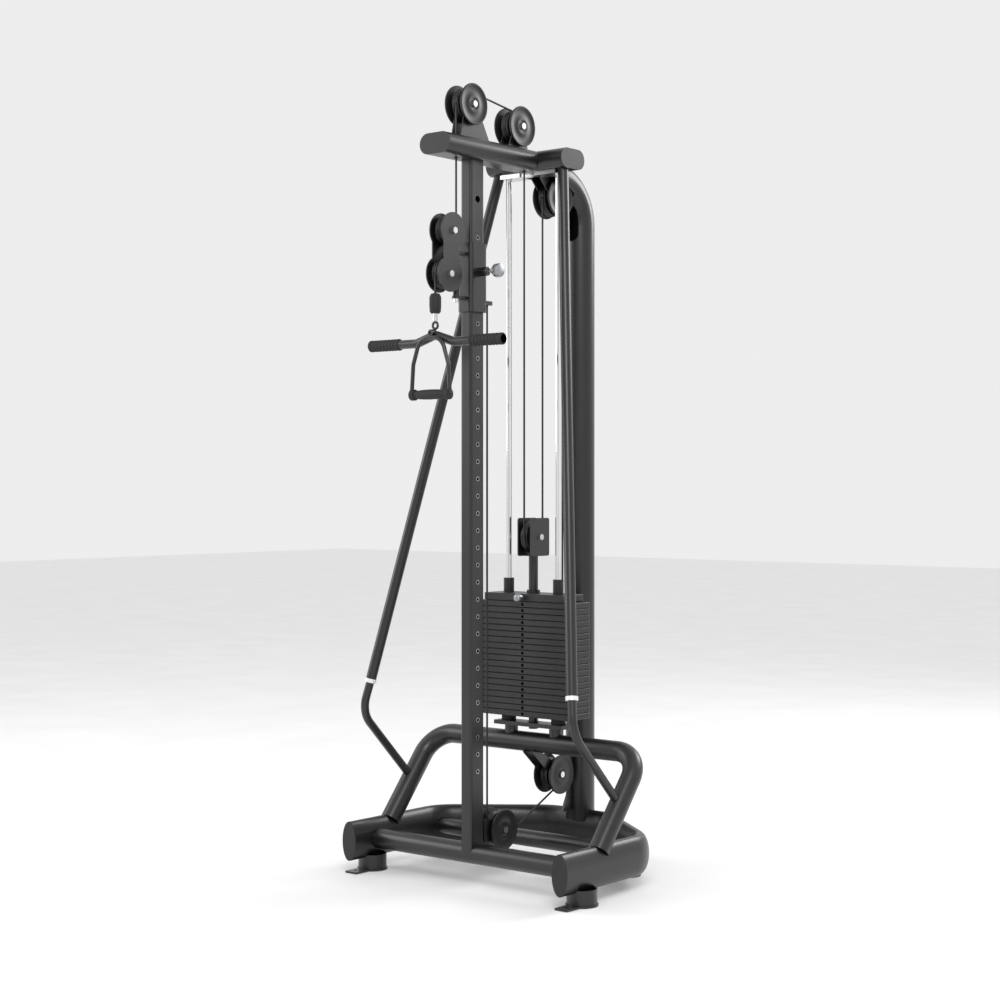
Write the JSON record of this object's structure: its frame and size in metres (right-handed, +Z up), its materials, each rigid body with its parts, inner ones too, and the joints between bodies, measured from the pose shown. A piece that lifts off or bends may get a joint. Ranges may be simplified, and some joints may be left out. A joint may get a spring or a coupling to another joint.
{
  "type": "lat pulldown machine",
  "caption": "Free-standing cable pulldown machine: one weight stack drives a cable over a height-adjustable swivel pulley to hanging handles.",
  "frame": {"origin": "on the floor, under the middle of the machine's outline", "axes": "+X the machine's right, +Y its rear, +Z up"},
  "size_m": [0.886, 0.767, 2.328],
  "materials": {
    "black_paint": "satin powder coat",
    "bright_steel": "zinc plated",
    "chrome": "polished",
    "silver_knob": "satin",
    "plates": "dark grey satin",
    "black_plastic": "satin moulded",
    "cable": "coated wire rope",
    "rubber": "matte"
  },
  "bodies": {
    "frame": {"base_crossbars": "black_paint", "base_rail": "black_paint", "cable_drop": "cable", "cable_falls": "cable", "cable_runs": "cable", "cable_tail": "cable", "column": "black_paint", "foot_plates": "black_paint", "foot_stubs": "black_paint", "guide_rods": "chrome", "hole_liners": "bright_steel", "hoop_frame": "black_paint", "pulley_axles": "bright_steel", "pulley_brackets": "black_paint", "pulley_covers": "black_plastic", "rear_post": "black_paint", "rod_top_plate": "bright_steel", "stack_cushions": "rubber", "stack_posts": "black_paint", "stack_rest": "black_paint", "strut_collars": "bright_steel", "strut_legs": "black_paint", "strut_sleeves": "black_paint", "top_beam": "black_paint", "top_crossbar": "black_paint", "tube_end_caps": "black_plastic", "weight_plates": "plates"},
    "carriage": {"carriage_sleeve": "black_paint", "lock_housing": "black_paint", "pivot_pin": "bright_steel"},
    "lock": {"lock_pin": "bright_steel", "lock_knob": "silver_knob"},
    "swivel_arm": {"arm_plates": "black_paint", "arm_barrel": "black_paint", "arm_axles": "bright_steel", "cable_arm": "cable"},
    "arm_upper_wheel": {"arm_upper_pulley": "black_plastic"},
    "arm_lower_wheel": {"arm_lower_pulley": "black_plastic"},
    "cable_end": {"cable_stop": "rubber", "end_swivel": "bright_steel", "cable_pull": "cable"},
    "handles": {"carabiner": "black_paint", "pull_bar": "black_paint", "pull_bar_grips": "rubber", "stirrup": "black_paint", "stirrup_grip": "rubber"},
    "stack": {"head_plate": "plates", "selector_stem": "black_paint", "head_bushes": "black_plastic", "block_plates": "black_paint", "block_axle": "bright_steel", "cable_block": "cable"},
    "block_wheel": {"block_pulley": "black_plastic"},
    "selector": {"selector_pin": "bright_steel", "selector_knob": "silver_knob"},
    "top_front_wheel": {"top_front_pulley": "black_plastic"},
    "top_middle_wheel": {"top_middle_pulley": "black_plastic"},
    "top_rear_wheel": {"top_rear_pulley": "black_plastic"},
    "low_rear_wheel": {"low_rear_pulley": "black_plastic"},
    "low_front_wheel": {"low_front_pulley": "black_plastic"}
  },
  "joints": [
    {"name": "carriage_slide", "type": "slide", "parent": "frame", "child": "carriage", "axis": [0, 0, 1], "range_m": [-1.3, 0.1], "deforming": ["cable_drop", "cable_tail"]},
    {"name": "lock_pull", "type": "slide", "parent": "carriage", "child": "lock", "axis": [1, 0, 0], "range_m": [-0.014, 0]},
    {"name": "arm_swivel", "type": "hinge", "parent": "carriage", "child": "swivel_arm", "pos_m": [0, -0.2575, 1.77], "axis": [0, 0, 1], "range_deg": [-60, 60]},
    {"name": "arm_upper_spin", "type": "hinge", "parent": "swivel_arm", "child": "arm_upper_wheel", "pos_m": [0, -0.2955, 1.895], "axis": [1, 0, 0], "range_deg": [-1670, 0]},
    {"name": "arm_lower_spin", "type": "hinge", "parent": "swivel_arm", "child": "arm_lower_wheel", "pos_m": [0, -0.3105, 1.77], "axis": [1, 0, 0], "range_deg": [0, 1670]},
    {"name": "cable_travel", "type": "slide", "parent": "swivel_arm", "child": "cable_end", "axis": [0, 0, -1], "range_m": [0, 1.1], "deforming": ["cable_pull"]},
    {"name": "handle_turn", "type": "hinge", "parent": "cable_end", "child": "handles", "pos_m": [0, -0.3485, 1.63], "axis": [0, 0, 1], "range_deg": [-25, 25]},
    {"name": "stack_lift", "type": "slide", "parent": "frame", "child": "stack", "axis": [0, 0, 1], "range_m": [0, 0.551], "deforming": ["cable_falls"]},
    {"name": "block_spin", "type": "hinge", "parent": "stack", "child": "block_wheel", "pos_m": [0, 0.1025, 1.01], "axis": [1, 0, 0], "range_deg": [-710, 0]},
    {"name": "selector_pull", "type": "slide", "parent": "stack", "child": "selector", "axis": [0, -1, 0], "range_m": [0, 0.1]},
    {"name": "top_front_spin", "type": "hinge", "parent": "frame", "child": "top_front_wheel", "pos_m": [0, -0.2125, 2.268], "axis": [1, 0, 0], "range_deg": [0, 1410]},
    {"name": "top_middle_spin", "type": "hinge", "parent": "frame", "child": "top_middle_wheel", "pos_m": [0, 0.0125, 2.236], "axis": [1, 0, 0], "range_deg": [0, 1410]},
    {"name": "top_rear_spin", "type": "hinge", "parent": "frame", "child": "top_rear_wheel", "pos_m": [0, 0.1975, 2.044], "axis": [1, 0, 0], "range_deg": [-130, 1510]},
    {"name": "low_rear_spin", "type": "hinge", "parent": "frame", "child": "low_rear_wheel", "pos_m": [0, 0.2025, 0.282], "axis": [1, 0, 0], "range_deg": [-140, 1680]},
    {"name": "low_front_spin", "type": "hinge", "parent": "frame", "child": "low_front_wheel", "pos_m": [0, -0.0725, 0.152], "axis": [1, 0, 0], "range_deg": [-140, 1680]}
  ],
  "couplings": [
    {"joint": "stack_lift", "follows": "cable_travel", "ratio": 0.5},
    {"joint": "top_front_spin", "follows": "cable_travel", "rad_per_m": 22.222},
    {"joint": "top_middle_spin", "follows": "cable_travel", "rad_per_m": 22.222},
    {"joint": "arm_upper_spin", "follows": "cable_travel", "rad_per_m": -26.316},
    {"joint": "arm_lower_spin", "follows": "cable_travel", "rad_per_m": 26.316},
    {"joint": "block_spin", "follows": "cable_travel", "rad_per_m": -11.111},
    {"joint": "top_rear_spin", "follows": "carriage_slide", "rad_per_m": -20},
    {"joint": "low_rear_spin", "follows": "carriage_slide", "rad_per_m": -22.222},
    {"joint": "low_front_spin", "follows": "carriage_slide", "rad_per_m": -22.222}
  ]
}
